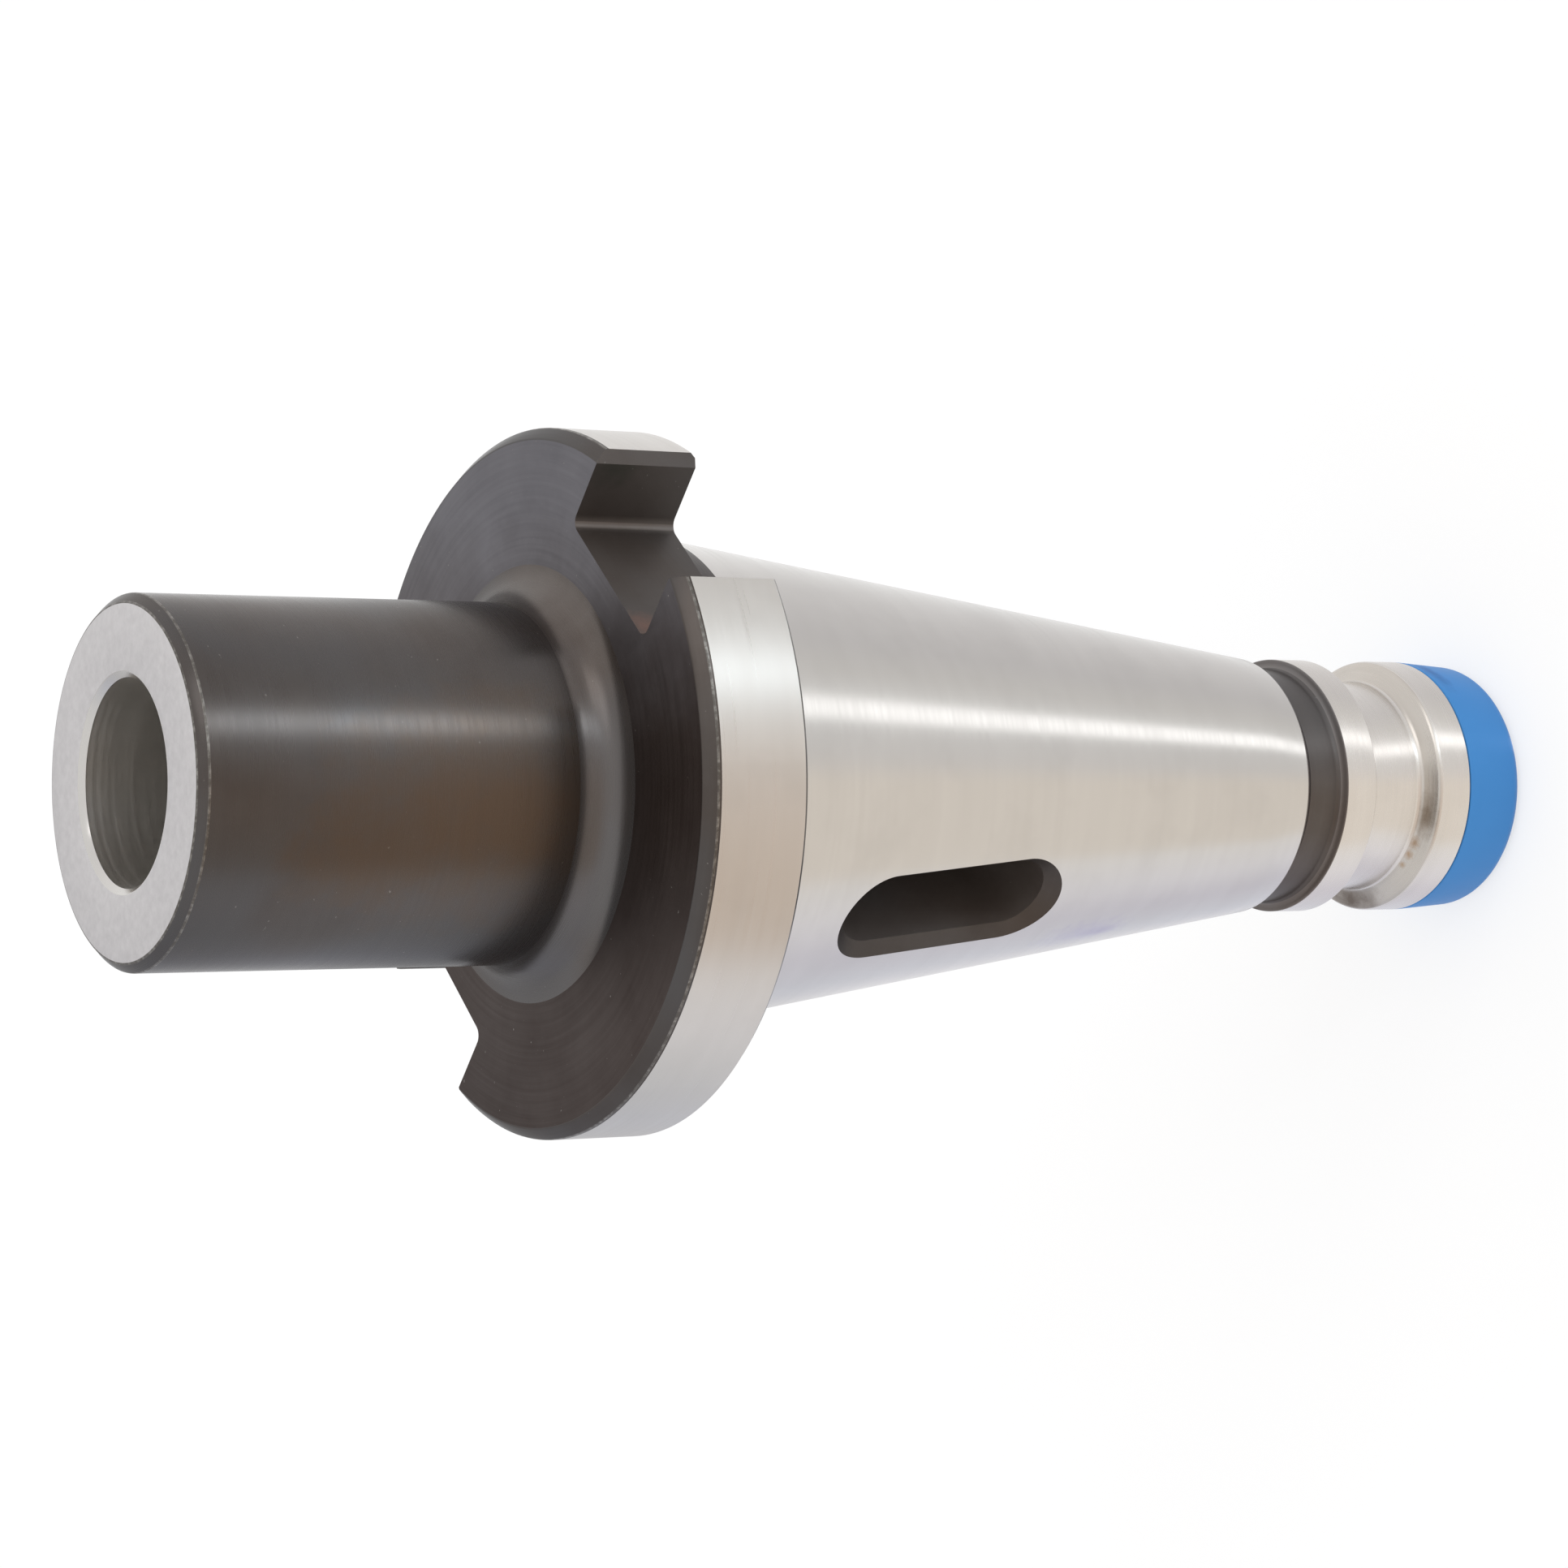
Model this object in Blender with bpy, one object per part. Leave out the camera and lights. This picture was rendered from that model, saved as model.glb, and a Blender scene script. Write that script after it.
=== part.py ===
"""Reducing sleeve: a size 40 steep-taper shank that takes tools with a No. 2 self-holding taper.

Metres, +Z up. The sleeve stands on the cap in its tail with its nose upwards.
The origin is the middle of the cap's flat end, Z is the tool's axis, and the
two drive slots lie along X. Heights in the profiles are measured from the
gauge line, the circle where the steep taper has its nominal diameter:
positive towards the nose, negative towards the tail.
"""

import math

import bmesh
import bpy
from mathutils import Matrix, Vector

# Steep taper and its small end
GAUGE_DIAMETER = 0.04445
TAPER_RATIO = 7 / 24
TAPER_START = 0.0004
TAPER_LENGTH = 0.0667

# Nose
NOSE_DIAMETER = 0.032
NOSE_LENGTH = 0.050
NOSE_CHAMFER = 0.0008
NOSE_FILLET = 0.0034

# Drive flange
FLANGE_DIAMETER = 0.063
FLANGE_SETBACK = 0.0016
FLANGE_THICKNESS = 0.0099
FLANGE_FRONT_CHAMFER = 0.0010
FLANGE_REAR_CHAMFER = 0.0004

# Drive slots in the flange
DRIVE_SLOT_WIDTH = 0.0161
DRIVE_SLOT_FLOOR_RISE = 0.0005
DRIVE_SLOT_FILLET = 0.0010
DRIVE_SLOT_CHAMFER = 0.0012

# Self-holding taper socket
SOCKET_DIAMETER = 0.01778
SOCKET_TAPER = 0.04995
SOCKET_BORE_DIAMETER = 0.0149
SOCKET_DEPTH = 0.067
SOCKET_CHAMFER = 0.0005
DRILL_POINT_ANGLE = math.radians(118)

# Drift slot across the taper
DRIFT_SLOT_START = 0.06265
DRIFT_SLOT_LENGTH = 0.0227
DRIFT_SLOT_WIDTH = 0.0072
DRIFT_SLOT_CHAMFER = 0.0016
DRIFT_SLOT_TURN = math.radians(92.5)

# Tail: end groove, lip, ring groove and collar
TAIL_DIAMETER = 0.0248
END_GROOVE_WIDTH = 0.0048
END_GROOVE_DIAMETER = 0.0228
END_GROOVE_FILLET = 0.0007
LIP_WIDTH = 0.0037
TAIL_EDGE = 0.0002
RING_GROOVE_DIAMETER = 0.0206
RING_GROOVE_WIDTH = 0.0080
RING_GROOVE_SLOPE = 0.0009
LIP_SIDE_FILLET = 0.0012
COLLAR_SIDE_FILLET = 0.0007
COLLAR_CORNER = 0.0005
COLLAR_WIDTH = 0.0038

# Tapped hole in the tail, drawn at its core diameter
THREAD_CORE_DIAMETER = 0.0138
THREAD_DEPTH = 0.035
COUNTERBORE_DIAMETER = 0.0170
COUNTERBORE_DEPTH = 0.0090

# Plastic cap
CAP_SEAT_GAP = 0.0003
CAP_FIT_CLEARANCE = 0.0003
CAP_HEAD_LENGTH = 0.0068
CAP_HEAD_DRAFT = 0.0005
CAP_HEAD_ROUND = 0.0014
CAP_PLUG_LENGTH = 0.0075
CAP_PILOT_LENGTH = 0.0100
CAP_PLUG_CHAMFER = 0.0006
CAP_PILOT_CHAMFER = 0.0015

# Roundness of the turned faces and slot ends, and how far a cutter reaches past a face
TURN_STEPS = 72
ARC_STEP = math.radians(16)
ROUND_END_STEPS = 9
SHARP_ANGLE = math.radians(30)
OVERCUT = 0.001
FACE_TOLERANCE = 0.00001

# Lengths that follow from the sizes above
TAIL_LENGTH = TAPER_LENGTH + END_GROOVE_WIDTH + LIP_WIDTH + RING_GROOVE_WIDTH + COLLAR_WIDTH
GAUGE_HEIGHT = CAP_HEAD_LENGTH + CAP_SEAT_GAP + TAIL_LENGTH
TAIL_END = -TAIL_LENGTH
FLANGE_FRONT = FLANGE_SETBACK + FLANGE_THICKNESS
TAPER_ANGLE = math.atan(TAPER_RATIO / 2)


def clear_scene():
    for obj in list(bpy.data.objects):
        bpy.data.objects.remove(obj, do_unlink=True)


def surface(name, colour, roughness, metallic):
    material = bpy.data.materials.new(name)
    material.use_nodes = True
    shader = material.node_tree.nodes["Principled BSDF"]
    shader.inputs["Base Color"].default_value = (*colour, 1.0)
    shader.inputs["Roughness"].default_value = roughness
    shader.inputs["Metallic"].default_value = metallic
    material.diffuse_color = (*colour, 1.0)
    return material


def taper_radius(height):
    """Radius of the steep taper at a height from the gauge line."""
    return GAUGE_DIAMETER / 2 + height * TAPER_RATIO / 2


def rounded(corners):
    """A polyline through (radius, height, fillet) corners, each fillet drawn as a tangent arc."""
    points = []
    for index, (x, z, fillet) in enumerate(corners):
        here = Vector((x, z))
        if not fillet:
            points.append(here)
            continue
        before = (Vector(corners[index - 1][:2]) - here).normalized()
        after = (Vector(corners[index + 1][:2]) - here).normalized()
        half = before.angle(after) / 2
        reach = fillet / math.tan(half)
        centre = here + (before + after).normalized() * fillet / math.sin(half)
        start = here + before * reach - centre
        sweep = start.angle_signed(here + after * reach - centre)
        count = max(2, math.ceil(abs(sweep) / ARC_STEP))
        for step in range(count + 1):
            turned = start.copy()
            turned.rotate(Matrix.Rotation(-sweep * step / count, 2))
            points.append(centre + turned)
    return points


def turned(name, corners, material):
    """A solid of revolution. The corners run down the outer side, from the axis back to the axis."""
    mesh = bpy.data.meshes.new(name)
    shape = bmesh.new()
    profile = [shape.verts.new((x, 0.0, z)) for x, z in rounded(corners)]
    edges = [shape.edges.new(pair) for pair in zip(profile, profile[1:])]
    bmesh.ops.spin(
        shape,
        geom=profile + edges,
        axis=(0, 0, 1),
        cent=(0, 0, 0),
        angle=math.tau,
        steps=TURN_STEPS,
        use_merge=True,
    )
    bmesh.ops.remove_doubles(shape, verts=shape.verts, dist=FACE_TOLERANCE / 10)
    bmesh.ops.recalc_face_normals(shape, faces=shape.faces)
    shape.to_mesh(mesh)
    shape.free()
    mesh.shade_smooth()
    mesh.set_sharp_from_angle(angle=SHARP_ANGLE)
    mesh.materials.append(material)
    obj = bpy.data.objects.new(name, mesh)
    bpy.context.scene.collection.objects.link(obj)
    return obj


def prism(name, loops, material):
    """A closed body through loops of equal length, given in order, with both ends filled."""
    mesh = bpy.data.meshes.new(name)
    shape = bmesh.new()
    rings = [[shape.verts.new(point) for point in loop] for loop in loops]
    for lower, upper in zip(rings, rings[1:]):
        for index in range(len(lower)):
            follow = (index + 1) % len(lower)
            shape.faces.new((lower[index], lower[follow], upper[follow], upper[index]))
    shape.faces.new(rings[0])
    shape.faces.new(rings[-1])
    bmesh.ops.recalc_face_normals(shape, faces=shape.faces)
    shape.to_mesh(mesh)
    shape.free()
    mesh.materials.append(material)
    obj = bpy.data.objects.new(name, mesh)
    bpy.context.scene.collection.objects.link(obj)
    return obj


def obround(length, width, out, grow=0.0):
    """A slot outline with round ends in the plane X = out, its length along Z."""
    radius = width / 2 + grow
    straight = (length - width) / 2
    points = []
    for side in (1, -1):
        for step in range(ROUND_END_STEPS + 1):
            angle = math.pi * step / ROUND_END_STEPS
            across = radius * math.cos(angle) * side
            along = (straight + radius * math.sin(angle)) * side
            points.append(Vector((out, across, along)))
    return points


def cut(target, cutter):
    cutter.hide_render = True
    cutter.display_type = "WIRE"
    modifier = target.modifiers.new(cutter.name, "BOOLEAN")
    modifier.operation = "DIFFERENCE"
    modifier.solver = "EXACT"
    modifier.material_mode = "TRANSFER"
    modifier.object = cutter


def body_profile():
    nose = NOSE_DIAMETER / 2
    flange = FLANGE_DIAMETER / 2
    tail = TAIL_DIAMETER / 2
    groove = RING_GROOVE_DIAMETER / 2
    lip_start = -TAPER_LENGTH - END_GROOVE_WIDTH
    lip_end = lip_start - LIP_WIDTH
    collar_start = lip_end - RING_GROOVE_WIDTH
    small_end = taper_radius(-TAPER_LENGTH)
    end_groove = END_GROOVE_DIAMETER / 2
    return [
        (0.0, NOSE_LENGTH, 0),
        (nose - NOSE_CHAMFER, NOSE_LENGTH, 0),
        (nose, NOSE_LENGTH - NOSE_CHAMFER, 0),
        (nose, FLANGE_FRONT, NOSE_FILLET),
        (flange - FLANGE_FRONT_CHAMFER, FLANGE_FRONT, 0),
        (flange, FLANGE_FRONT - FLANGE_FRONT_CHAMFER, 0),
        (flange, FLANGE_SETBACK + FLANGE_REAR_CHAMFER, 0),
        (flange - FLANGE_REAR_CHAMFER, FLANGE_SETBACK, 0),
        (GAUGE_DIAMETER / 2, FLANGE_SETBACK, 0),
        (GAUGE_DIAMETER / 2, 0.0, 0),
        (taper_radius(-TAPER_START), -TAPER_START, 0),
        (small_end, -TAPER_LENGTH, 0),
        (end_groove, -TAPER_LENGTH - (small_end - end_groove), 0),
        (end_groove, lip_start, END_GROOVE_FILLET),
        (tail, lip_start, 0),
        (tail, lip_end + TAIL_EDGE, 0),
        (tail - TAIL_EDGE, lip_end, 0),
        (groove, lip_end - RING_GROOVE_SLOPE, LIP_SIDE_FILLET),
        (groove, collar_start + RING_GROOVE_SLOPE, COLLAR_SIDE_FILLET),
        (tail, collar_start, COLLAR_CORNER),
        (tail, TAIL_END + TAIL_EDGE, 0),
        (tail - TAIL_EDGE, TAIL_END, 0),
        (0.0, TAIL_END, 0),
    ]


def socket_profile():
    mouth = SOCKET_DIAMETER / 2
    bore = SOCKET_BORE_DIAMETER / 2
    straight = NOSE_LENGTH - (SOCKET_DIAMETER - SOCKET_BORE_DIAMETER) / SOCKET_TAPER
    bottom = NOSE_LENGTH - SOCKET_DEPTH
    point = bore / math.tan(DRILL_POINT_ANGLE / 2)
    return [
        (0.0, NOSE_LENGTH + OVERCUT, 0),
        (mouth + SOCKET_CHAMFER + OVERCUT, NOSE_LENGTH + OVERCUT, 0),
        (mouth - SOCKET_CHAMFER * SOCKET_TAPER / 2, NOSE_LENGTH - SOCKET_CHAMFER, 0),
        (bore, straight, 0),
        (bore, bottom, 0),
        (0.0, bottom - point, 0),
    ]


def thread_hole_profile():
    core = THREAD_CORE_DIAMETER / 2
    bore = COUNTERBORE_DIAMETER / 2
    shoulder = TAIL_END + COUNTERBORE_DEPTH
    bottom = TAIL_END + THREAD_DEPTH
    return [
        (0.0, bottom + core / math.tan(DRILL_POINT_ANGLE / 2), 0),
        (core, bottom, 0),
        (core, shoulder + (bore - core) / 2, 0),
        (bore, shoulder, 0),
        (bore, TAIL_END - OVERCUT, 0),
        (0.0, TAIL_END - OVERCUT, 0),
    ]


def cap_profile():
    """Head, plug and pilot of the cap, in heights from its flat end, run down the outer side."""
    head = TAIL_DIAMETER / 2
    plug = COUNTERBORE_DIAMETER / 2 - CAP_FIT_CLEARANCE
    pilot = THREAD_CORE_DIAMETER / 2 - CAP_FIT_CLEARANCE
    plug_top = CAP_HEAD_LENGTH + CAP_SEAT_GAP + CAP_PLUG_LENGTH
    pilot_top = plug_top + CAP_PILOT_LENGTH
    return [
        (0.0, pilot_top, 0),
        (pilot - CAP_PILOT_CHAMFER, pilot_top, 0),
        (pilot, pilot_top - CAP_PILOT_CHAMFER, 0),
        (pilot, plug_top, 0),
        (plug - CAP_PLUG_CHAMFER, plug_top, 0),
        (plug, plug_top - CAP_PLUG_CHAMFER, 0),
        (plug, CAP_HEAD_LENGTH, 0),
        (head, CAP_HEAD_LENGTH, 0),
        (head - CAP_HEAD_DRAFT, 0.0, CAP_HEAD_ROUND),
        (0.0, 0.0, 0),
    ]


def drive_slot(name, angle, material):
    """Cutter for one drive slot: rounded root corners, and edges that flare open at the rim."""
    half = DRIVE_SLOT_WIDTH / 2
    rim = FLANGE_DIAMETER / 2
    floor = GAUGE_DIAMETER / 2 + DRIVE_SLOT_FLOOR_RISE
    flare_start = math.sqrt(rim * rim - half * half) - DRIVE_SLOT_CHAMFER
    flare = DRIVE_SLOT_CHAMFER + rim - flare_start
    corners = [
        (floor, 0.0, 0),
        (floor, half, DRIVE_SLOT_FILLET),
        (flare_start, half, 0),
        (flare_start + flare, half + flare, 0),
    ]
    half_outline = rounded(corners)[1:]
    outline = half_outline + [Vector((x, -y)) for x, y in reversed(half_outline)]
    turn = Matrix.Rotation(angle, 4, "Z")
    heights = (FLANGE_SETBACK - OVERCUT, FLANGE_FRONT + OVERCUT)
    loops = [[turn @ Vector((x, y, z)) for x, y in outline] for z in heights]
    return prism(name, loops, material)


def drift_slot(name, angle, material):
    """Cutter for the slot that goes right through the shank, across the axis."""
    middle = NOSE_LENGTH - DRIFT_SLOT_START - DRIFT_SLOT_LENGTH / 2
    place = Matrix.Rotation(angle, 4, "Z") @ Matrix.Translation((0, 0, middle))
    reach = FLANGE_DIAMETER / 2
    loops = [obround(DRIFT_SLOT_LENGTH, DRIFT_SLOT_WIDTH, out) for out in (-reach, reach)]
    return prism(name, [[place @ point for point in loop] for loop in loops], material)


def drift_slot_mouth(name, angle, material):
    """Cutter for the chamfer round one mouth of the drift slot, tilted to follow the taper."""
    middle = NOSE_LENGTH - DRIFT_SLOT_START - DRIFT_SLOT_LENGTH / 2
    surface = Matrix.Translation((taper_radius(middle), 0, middle))
    tilt = Matrix.Rotation(TAPER_ANGLE, 4, "Y")
    place = Matrix.Rotation(angle, 4, "Z") @ surface @ tilt
    depth = DRIFT_SLOT_CHAMFER
    inner = obround(DRIFT_SLOT_LENGTH, DRIFT_SLOT_WIDTH, -depth)
    outer = obround(DRIFT_SLOT_LENGTH, DRIFT_SLOT_WIDTH, OVERCUT, depth + OVERCUT)
    return prism(name, [[place @ point for point in loop] for loop in (inner, outer)], material)


def blacken(body):
    """The black slot takes the turned faces that aren't ground: the nose, the neck and the end groove."""
    flange_rim = FLANGE_FRONT - FLANGE_FRONT_CHAMFER
    for face in body.data.polygons:
        middle = face.center
        on_nose = flange_rim < middle.z < NOSE_LENGTH - FACE_TOLERANCE
        on_neck = -TAPER_START < middle.z < FLANGE_SETBACK + FLANGE_REAR_CHAMFER
        on_groove = -TAPER_LENGTH - END_GROOVE_WIDTH - FACE_TOLERANCE < middle.z < -TAPER_LENGTH
        if on_nose or on_neck or on_groove:
            face.material_index = 1


def main():
    clear_scene()
    ground = surface("ground_steel", (0.62, 0.60, 0.57), 0.24, 1.0)
    black = surface("black_oxide", (0.045, 0.040, 0.037), 0.42, 0.85)
    plastic = surface("blue_plastic", (0.07, 0.27, 0.62), 0.38, 0.0)

    body = turned("sleeve_body", body_profile(), ground)
    body.data.materials.append(black)
    blacken(body)
    body.location.z = GAUGE_HEIGHT

    cutters = [
        turned("socket_cutter", socket_profile(), ground),
        turned("thread_hole_cutter", thread_hole_profile(), ground),
        drive_slot("drive_slot_cutter_1", 0.0, black),
        drive_slot("drive_slot_cutter_2", math.pi, black),
        drift_slot("drift_slot_cutter", DRIFT_SLOT_TURN, black),
        drift_slot_mouth("drift_slot_mouth_cutter_1", DRIFT_SLOT_TURN, black),
        drift_slot_mouth("drift_slot_mouth_cutter_2", DRIFT_SLOT_TURN + math.pi, black),
    ]
    for cutter in cutters:
        cutter.location.z = GAUGE_HEIGHT
        cut(body, cutter)

    turned("thread_cap", cap_profile(), plastic)


main()
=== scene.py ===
"""Looks of a reducing sleeve: ground steel, black oxide, and a blue plastic cap in its tail.

Metres, +Z up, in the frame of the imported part: the sleeve stands on its cap with
its nose upwards. Heights are measured from the surface it stands on.
"""

import math

import bmesh
import bpy
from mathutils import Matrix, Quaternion, Vector


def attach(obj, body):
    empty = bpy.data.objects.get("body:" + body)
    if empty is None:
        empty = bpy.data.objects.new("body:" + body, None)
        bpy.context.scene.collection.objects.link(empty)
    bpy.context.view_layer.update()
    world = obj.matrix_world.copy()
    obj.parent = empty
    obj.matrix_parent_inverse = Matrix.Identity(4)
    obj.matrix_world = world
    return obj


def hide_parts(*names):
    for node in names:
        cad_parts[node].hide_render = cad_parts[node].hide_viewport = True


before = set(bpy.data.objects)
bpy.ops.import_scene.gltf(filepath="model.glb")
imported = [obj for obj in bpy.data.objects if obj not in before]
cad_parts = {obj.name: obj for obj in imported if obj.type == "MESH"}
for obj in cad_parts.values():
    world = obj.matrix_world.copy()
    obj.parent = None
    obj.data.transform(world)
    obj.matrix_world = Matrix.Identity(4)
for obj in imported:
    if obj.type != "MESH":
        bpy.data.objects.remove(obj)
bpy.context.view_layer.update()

# Heights of the sleeve's shoulders
NOSE_FACE = 0.1441
FLANGE_FRONT = 0.1056
FLANGE_REAR = 0.0957
GAUGE_LINE = 0.0941
TAPER_TOP = 0.0937
TAPER_END = 0.0274
LIP_TOP = 0.0226
LIP_END = 0.0189
COLLAR_TOP = 0.0109
TAIL_END = 0.0071

# Radii of the turned faces
NOSE_RADIUS = 0.016
FLANGE_RADIUS = 0.0315
GAUGE_RADIUS = 0.022225
TAPER_SLOPE = 7 / 48
END_GROOVE_RADIUS = 0.0114
TAIL_RADIUS = 0.0124
RING_GROOVE_RADIUS = 0.0103

# Chamfers, leaning flanks and roundings of the turned faces
TAIL_CHAMFER = 0.0002
FLANK_LEAN = 0.0009
COLLAR_ROUND = 0.0004
NECK_ROUND_AT_COLLAR = 0.0005
NECK_ROUND_AT_LIP = 0.0009
END_GROOVE_ROUND = 0.0007
FLANGE_REAR_CHAMFER = 0.0004
FLANGE_CHAMFER = 0.0010
BLACKENED_RIM = 0.0013
NOSE_FILLET = 0.0034
NOSE_CHAMFER = 0.0008
SOCKET_CHAMFER = 0.0005
EDGE_BREAK = 0.00012

# Socket in the nose
SOCKET_RADIUS = 0.00889
SOCKET_BORE_RADIUS = 0.00745
SOCKET_NARROW = 0.08644
SOCKET_FLOOR = 0.0771
DRILL_POINT_SLOPE = math.tan(math.radians(59))

# Tapped hole in the tail, M16 x 2
THREAD_RADIUS = 0.0080
THREAD_CORE_RADIUS = 0.0069
THREAD_PITCH = 0.002
THREAD_TOP = 0.0390
THREAD_RUNOUT = 0.0011
THREAD_LEAD_IN = 0.0005
THREAD_START = 0.0014
THREAD_RIDGE_SHARE = 0.45
THREAD_RIDGE_INSET = 0.00015
THREAD_STEPS = 64
COUNTERBORE_RADIUS = 0.0085
COUNTERBORE_TOP = 0.0161
COUNTERBORE_CHAMFER = 0.0003
HOLE_FLOOR = 0.0421

# Slots
DRIVE_SLOT_WIDTH = 0.0161
DRIVE_SLOT_FLOOR = 0.022725
DRIVE_SLOT_FILLET = 0.0010
DRIVE_SLOT_CHAMFER = 0.0012
DRIFT_SLOT_TURN = math.radians(92.5)
DRIFT_SLOT_MIDDLE = 0.0701
DRIFT_SLOT_LENGTH = 0.0227
DRIFT_SLOT_WIDTH = 0.0072
DRIFT_SLOT_CHAMFER = 0.0016
DRIFT_MOUTH_CUT = 0.004

# Cap
CAP_HEAD_TOP = 0.00704
CAP_HEAD_DRAFT = 0.0005
CAP_HEAD_ROUND = 0.0014
CAP_HEAD_RIM_ROUND = 0.00015
CAP_PLUG_RADIUS = 0.0082
CAP_PLUG_TOP = 0.0146
CAP_PLUG_ROUND = 0.0006
CAP_PILOT_RADIUS = 0.0066
CAP_PILOT_TOP = 0.0246
CAP_PILOT_ROUND = 0.0015

# Fineness of the meshes; pieces close on a tiny flat on the axis, and points within TOUCH are one
TURN_STEPS = 192
TAPER_RINGS = 14
TIP_RADIUS = 0.0001
TOUCH = 0.00001
OVERCUT = 0.001
SHARP_ANGLE = math.radians(28)

# Depth of each finish's fine relief
GRINDING_DEPTH = 0.00000015
FACING_DEPTH = 0.0000006
REAMING_DEPTH = 0.0000006
OXIDE_DEPTH = 0.00000006
FLANGE_TURNING_DEPTH = 0.0000004
MOULDING_DEPTH = 0.0000030

# Marks and patches on the steel and the plastic, some of them painted reflection and shade: place,
# reach, stretch along the axis and colour
TAPER_MARKS = [
    ((-0.0054, -0.0147, 0.0510), 0.0028, 2.4, (0.53, 0.505, 0.560)),
    ((-0.0058, -0.0146, 0.0485), 0.0012, 2.6, (0.46, 0.430, 0.520)),
]
# On the collar's flank: the two large dark brown patches are partly dirt and partly painted dark
# reflection; the three small ones are rust specks.
TAIL_RUST_AND_SHADE = [
    ((0.0049, -0.0104, 0.0114), 0.0030, 0.25, (0.30, 0.250, 0.205)),
    ((-0.0095, -0.0066, 0.0113), 0.0052, 0.25, (0.20, 0.165, 0.140)),
    ((0.0002, -0.0107, 0.0116), 0.0007, 0.6, (0.44, 0.320, 0.230)),
    ((0.0016, -0.0106, 0.0116), 0.0009, 0.5, (0.42, 0.310, 0.225)),
    ((-0.0012, -0.0106, 0.0116), 0.0005, 0.7, (0.46, 0.350, 0.260)),
]
# Brown patches on the nose just below its highlight: a painted brown reflection.
NOSE_PAINTED_REFLECTION = [
    ((0.0080, -0.0138, 0.1170), 0.0120, 1.6, (0.090, 0.062, 0.043)),
    ((0.0050, -0.0152, 0.1290), 0.0060, 1.5, (0.084, 0.060, 0.044)),
]
SLOT_PATCHES = [
    ((0.0227, -0.0062, 0.1045), 0.0024, 1.0, (0.150, 0.085, 0.066)),
    ((0.0290, 0.0080, 0.1035), 0.0028, 1.0, (0.045, 0.043, 0.036)),
]
DRIFT_SLOT_PATCHES = [((0.0, 0.0, 0.0700), 0.0100, 1.0, (0.120, 0.078, 0.064))]
CAP_PATCHES = [((0.0118, 0.0036, 0.0058), 0.0042, 0.28, (0.018, 0.150, 0.450))]

# Camera, at the angle and distance of the photograph
CAMERA_PLACE = Vector((0.219216, -0.261814, 0.291172))
CAMERA_AIM = Vector((0.00003, 0.00003, 0.078687))
CAMERA_ROLL = math.radians(-89.87)
CAMERA_LENS = 100.67

# Studio floor, and how its mirrored light changes with the distance from the sleeve
FLOOR_SIZE = 12
FLOOR_WHITE = 0.80
FLOOR_GLOW = 0.66
FLOOR_SHADOWED = 0.38
TABLE_SHIFT = (-0.0039, 0.0046, 0)
TABLE_END = (0.11, 0.16)
MIDDLE_END = (0.25, 0.34)
GLOW_REACH = 0.5
GLOW_OUTWARD = [(0.40, 1.04), (0.46, 0.80), (0.52, 0.92), (0.60, 1.62), (1.0, 1.0)]

# The tent's window, brightness and azimuth, in the middle floor, the outer floor and the walls
MIDDLE_WINDOW = (1.9, -17.5)
OUTER_WINDOW = (5.6, -14.5)
WALL_WINDOW = (3.0, -14.5)
TENT_TOP = (0.95, 0.95, 0.95)


def taper_radius(height):
    """Radius of the steep taper at a height above the floor."""
    return GAUGE_RADIUS + (height - GAUGE_LINE) * TAPER_SLOPE


def put_down_all():
    """Leaves edit mode and selects nothing, so that an operator works on the new piece alone."""
    if bpy.context.object and bpy.context.object.mode != "OBJECT":
        bpy.ops.object.mode_set(mode="OBJECT")
    bpy.ops.object.select_all(action="DESELECT")


def take(piece):
    """Selects this piece alone, for the operators that follow."""
    put_down_all()
    piece.select_set(True)
    bpy.context.view_layer.objects.active = piece


def name_piece(piece, name):
    """Names the object and its mesh alike."""
    piece.name = name
    piece.data.name = name


# Procedural finishes


def new_finish(name):
    """A new material with its nodes, its links and its shader."""
    material = bpy.data.materials.new(name)
    material.use_nodes = True
    tree = material.node_tree
    return material, tree.nodes, tree.links, tree.nodes["Principled BSDF"]


def place_on_piece(nodes):
    """The place in metres in the piece's own space, which moves with it."""
    return nodes.new("ShaderNodeTexCoord").outputs["Object"]


def reckoned(nodes, links, kind, operation, *values):
    """A maths node: its inputs are linked, or set where the value is plain numbers."""
    node = nodes.new(kind)
    node.operation = operation
    for value, socket in zip(values, node.inputs):
        if isinstance(value, (int, float, tuple)):
            socket.default_value = value
        else:
            links.new(value, socket)
    return node


def from_axis(nodes, links, here):
    """Distance of a place on the piece from the axis."""
    flat = reckoned(nodes, links, "ShaderNodeVectorMath", "MULTIPLY", here, (1, 1, 0))
    return reckoned(
        nodes, links, "ShaderNodeVectorMath", "LENGTH", flat.outputs["Vector"]
    ).outputs["Value"]


def lathe_grain(nodes, links, fine, drift):
    """Coordinates that run quickly along or out from the axis and slowly round it."""
    here = place_on_piece(nodes)
    radius = from_axis(nodes, links, here)
    split = nodes.new("ShaderNodeSeparateXYZ")
    links.new(here, split.inputs[0])
    along = reckoned(nodes, links, "ShaderNodeMath", "SUBTRACT", split.outputs["Z"], radius)
    joined = nodes.new("ShaderNodeCombineXYZ")
    links.new(split.outputs["X"], joined.inputs["X"])
    links.new(split.outputs["Y"], joined.inputs["Y"])
    links.new(along.outputs[0], joined.inputs["Z"])
    stretch = nodes.new("ShaderNodeMapping")
    stretch.inputs["Scale"].default_value = (drift, drift, fine)
    links.new(joined.outputs[0], stretch.inputs["Vector"])
    return stretch.outputs[0]


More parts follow.
